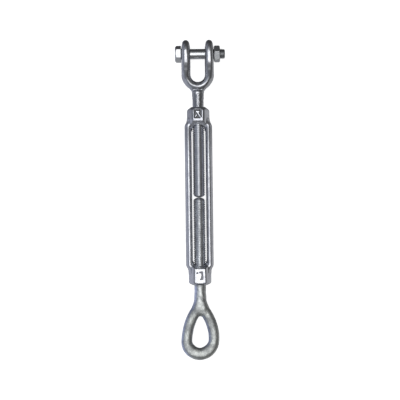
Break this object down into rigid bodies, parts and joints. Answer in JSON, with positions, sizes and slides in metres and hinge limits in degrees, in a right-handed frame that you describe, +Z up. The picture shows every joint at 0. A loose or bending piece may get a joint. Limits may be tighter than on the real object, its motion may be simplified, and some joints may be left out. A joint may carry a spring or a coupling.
{
  "type": "jaw and eye rigging turnbuckle",
  "caption": "Open-body forged turnbuckle with hexagonal ends: a jaw with a bolt and nut at one end and a teardrop eye at the other, shown screwed right in.",
  "frame": {"origin": "bottom centre of the bounding box, with the turnbuckle lying on the round edges of its jaw ears and its screw axis level", "axes": "+Y along the screw axis towards the jaw, +X along the jaw bolt towards its nut, +Z up out of the surface it lies on"},
  "size_m": [0.0542, 0.3419, 0.0286],
  "materials": {
    "body_zinc": "hot-dip galvanised forging, satin",
    "fitting_zinc": "hot-dip galvanised forging, mottled satin",
    "thread_zinc": "galvanised screw thread",
    "bolt_zinc": "bright galvanised bolt",
    "nut_zinc": "matt galvanised nut"
  },
  "bodies": {
    "turnbuckle_body": {"turnbuckle_body": "body_zinc"},
    "jaw_thread": {"jaw_threaded_shank": "thread_zinc"},
    "jaw_end": {"jaw_fork": "fitting_zinc"},
    "jaw_bolt": {"jaw_bolt": "bolt_zinc"},
    "jaw_nut": {"jaw_nut": "nut_zinc"},
    "eye_thread": {"eye_threaded_shank": "thread_zinc"},
    "eye_end": {"eye_loop": "fitting_zinc"}
  },
  "joints": [
    {"name": "jaw_travel", "type": "slide", "parent": "turnbuckle_body", "child": "jaw_thread", "axis": [0, 1, 0], "range_m": [0, 0.0762]},
    {"name": "jaw_turn", "type": "hinge", "parent": "jaw_thread", "child": "jaw_end", "pos_m": [-0.00265, 0.1027, 0.0143], "axis": [0, 1, 0], "range_deg": [0, 14040]},
    {"name": "eye_travel", "type": "slide", "parent": "turnbuckle_body", "child": "eye_thread", "axis": [0, -1, 0], "range_m": [0, 0.0762]},
    {"name": "eye_turn", "type": "hinge", "parent": "eye_thread", "child": "eye_end", "pos_m": [-0.00265, -0.094, 0.0143], "axis": [0, 1, 0], "range_deg": [0, 14040]},
    {"name": "bolt_turn", "type": "hinge", "parent": "jaw_end", "child": "jaw_bolt", "pos_m": [-0.00265, 0.15585, 0.0143], "axis": [1, 0, 0], "continuous": true},
    {"name": "nut_off", "type": "slide", "parent": "jaw_bolt", "child": "jaw_nut", "axis": [1, 0, 0], "range_m": [0, 0.012]}
  ],
  "couplings": [
    {"joint": "jaw_travel", "follows": "jaw_turn", "m_per_rad": 0.00031096},
    {"joint": "eye_turn", "follows": "jaw_turn", "ratio": 1},
    {"joint": "eye_travel", "follows": "jaw_turn", "m_per_rad": 0.00031096}
  ]
}
